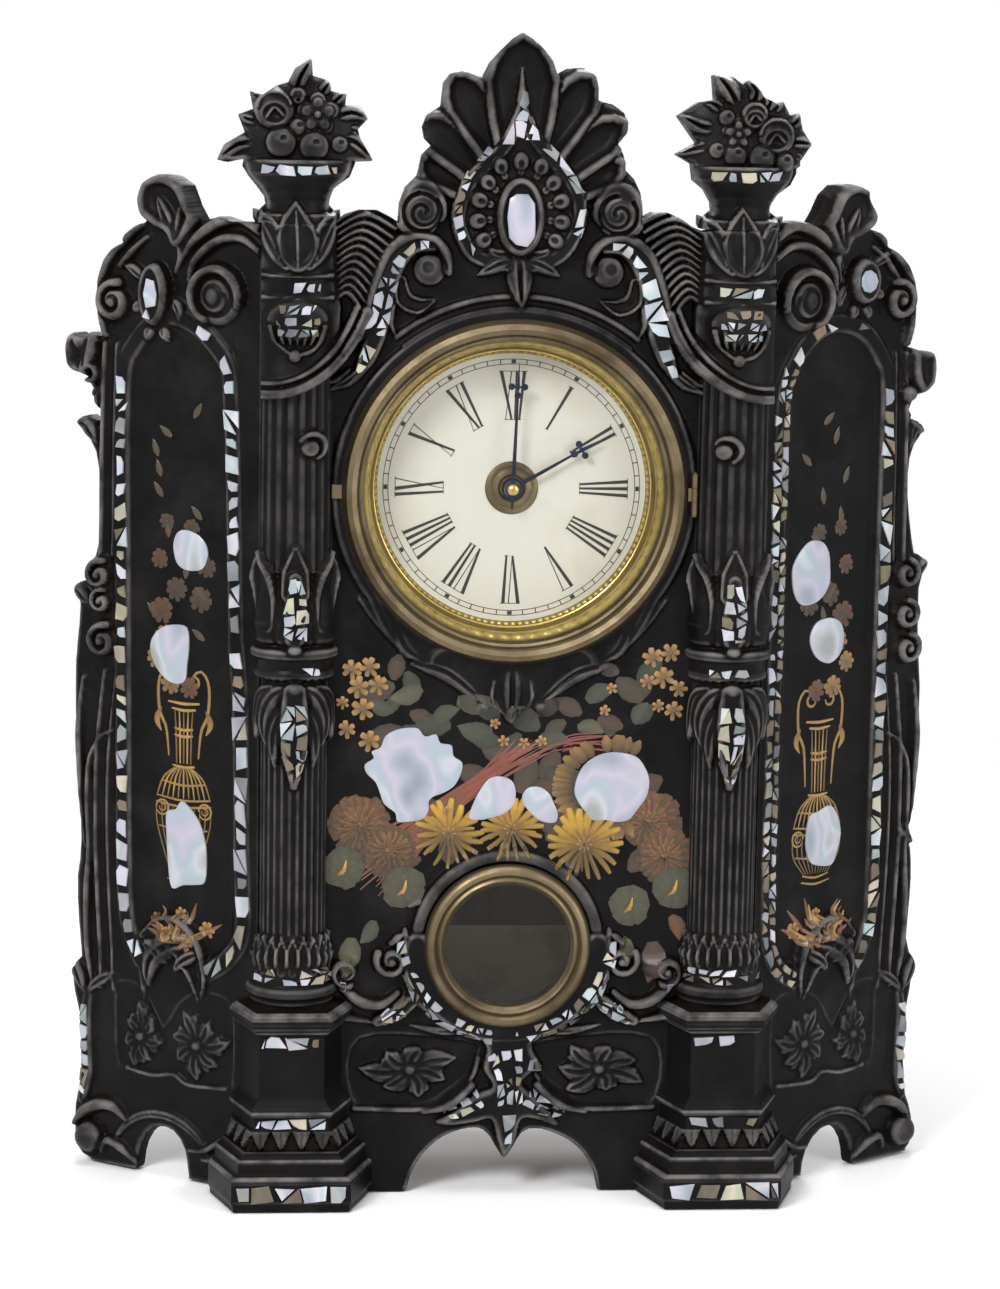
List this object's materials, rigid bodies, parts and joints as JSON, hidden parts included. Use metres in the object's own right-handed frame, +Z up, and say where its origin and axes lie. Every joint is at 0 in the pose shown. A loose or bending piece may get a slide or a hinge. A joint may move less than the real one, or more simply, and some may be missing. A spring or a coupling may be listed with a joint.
{
  "type": "shelf clock",
  "caption": "Shelf clock with a bowed cast front, hinged round door, pearl inlay, pendulum window and spring-driven pendulum movement in a wooden case.",
  "frame": {"origin": "middle of the footprint on the shelf", "axes": "+Z up, the dial faces -Y, +X to the right as seen from the front"},
  "size_m": [0.3992, 0.1268, 0.52],
  "materials": {
    "japanned_iron": "aged black japan, semi-gloss",
    "pearl": "mother of pearl under varnish",
    "case_brass": "aged",
    "gilt": "embossed, lacquered",
    "movement_brass": "machined",
    "clear_glass": "clear",
    "dark_glass": "dusty",
    "dial_paint": "aged cream, matt",
    "blued_steel": "blued",
    "steel": "bright",
    "spring_steel": "oiled",
    "case_wood": "stained, dull",
    "inner_wood": "bare",
    "label_paper": "aged paper"
  },
  "bodies": {
    "clock_case": {"iron_front": "japanned_iron", "finial_left": "japanned_iron", "finial_right": "japanned_iron", "pearl_plaques": "pearl", "pearl_chips": "pearl", "case_hinge_leaf": "case_brass", "hinge_pin": "case_brass", "catch_keeper": "case_brass", "window_ring": "case_brass", "window_glass": "dark_glass", "window_clamp_ring": "case_brass", "dial_plate": "dial_paint", "sight_ring": "gilt", "dial_eyelet": "gilt", "dial_posts": "movement_brass", "dial_screws": "steel", "case_left_side": "case_wood", "case_right_side": "case_wood", "case_top": "case_wood", "case_bottom": "case_wood", "back_board": "case_wood", "back_screws": "steel", "front_battens": "inner_wood", "front_screws": "steel", "movement_rails": "inner_wood", "movement_screws": "steel", "paper_label": "label_paper", "front_plate": "movement_brass", "back_plate": "movement_brass", "plate_pillars": "movement_brass", "pillar_nuts": "steel", "motion_stud": "steel", "mainspring": "spring_steel", "pendulum_cock": "movement_brass", "suspension_spring": "spring_steel"},
    "door": {"door_rim": "case_brass", "door_glass": "clear_glass", "door_glass_ring": "case_brass", "door_hinge_leaf": "case_brass", "door_catch": "case_brass"},
    "minute_work": {"centre_wheel": "movement_brass", "cannon_pinion": "movement_brass", "minute_hand": "blued_steel", "hand_nut": "movement_brass"},
    "hour_work": {"hour_wheel": "movement_brass", "hour_hand": "blued_steel"},
    "motion_wheel": {"minute_wheel": "movement_brass"},
    "third": {"third_wheel": "movement_brass"},
    "escape": {"escape_wheel": "movement_brass"},
    "great": {"great_wheel": "movement_brass", "click_spring": "spring_steel"},
    "winding": {"winding_arbor": "steel", "ratchet_wheel": "movement_brass"},
    "click": {"click": "steel"},
    "verge": {"verge": "steel", "crutch": "steel"},
    "pendulum": {"pendulum_rod": "steel", "pendulum_bob": "case_brass", "rating_nut": "movement_brass"}
  },
  "joints": [
    {"name": "door_swing", "type": "hinge", "parent": "clock_case", "child": "door", "pos_m": [0.0793, -0.0376, 0.3195], "axis": [0, 0, 1], "range_deg": [0, 90]},
    {"name": "minute", "type": "hinge", "parent": "clock_case", "child": "minute_work", "pos_m": [0, 0.0124, 0.3195], "axis": [0, 1, 0], "continuous": true},
    {"name": "hour", "type": "hinge", "parent": "clock_case", "child": "hour_work", "pos_m": [0, 0.0124, 0.3195], "axis": [0, 1, 0], "continuous": true},
    {"name": "motion_wheel_spin", "type": "hinge", "parent": "clock_case", "child": "motion_wheel", "pos_m": [-0.012, -0.0076, 0.3195], "axis": [0, 1, 0], "continuous": true},
    {"name": "great_spin", "type": "hinge", "parent": "clock_case", "child": "great", "pos_m": [-0.022, 0.0124, 0.291], "axis": [0, 1, 0], "continuous": true},
    {"name": "third_spin", "type": "hinge", "parent": "clock_case", "child": "third", "pos_m": [0.01481, 0.0124, 0.33864], "axis": [0, 1, 0], "continuous": true},
    {"name": "escape_spin", "type": "hinge", "parent": "clock_case", "child": "escape", "pos_m": [0, 0.0124, 0.35777], "axis": [0, 1, 0], "continuous": true},
    {"name": "winding_turn", "type": "hinge", "parent": "great", "child": "winding", "pos_m": [-0.022, 0.0124, 0.291], "axis": [0, 1, 0], "continuous": true},
    {"name": "click_lift", "type": "hinge", "parent": "great", "child": "click", "pos_m": [-0.0104, 0.0218, 0.291], "axis": [0, -1, 0], "range_deg": [0, 14], "stiffness_Nm_per_rad": 0.002, "deforming": ["click_spring"]},
    {"name": "pendulum_swing", "type": "hinge", "parent": "clock_case", "child": "pendulum", "pos_m": [0, 0.0394, 0.3795], "axis": [0, 1, 0], "range_deg": [-3, 3]},
    {"name": "verge_rock", "type": "hinge", "parent": "clock_case", "child": "verge", "pos_m": [0, 0.0124, 0.3795], "axis": [0, 1, 0], "range_deg": [-3, 3]}
  ],
  "couplings": [
    {"joint": "hour", "follows": "minute", "ratio": 0.083333},
    {"joint": "motion_wheel_spin", "follows": "minute", "ratio": -0.33333},
    {"joint": "great_spin", "follows": "minute", "ratio": -0.11111},
    {"joint": "third_spin", "follows": "minute", "ratio": -10},
    {"joint": "escape_spin", "follows": "minute", "ratio": 100},
    {"joint": "verge_rock", "follows": "pendulum_swing", "ratio": 1}
  ]
}
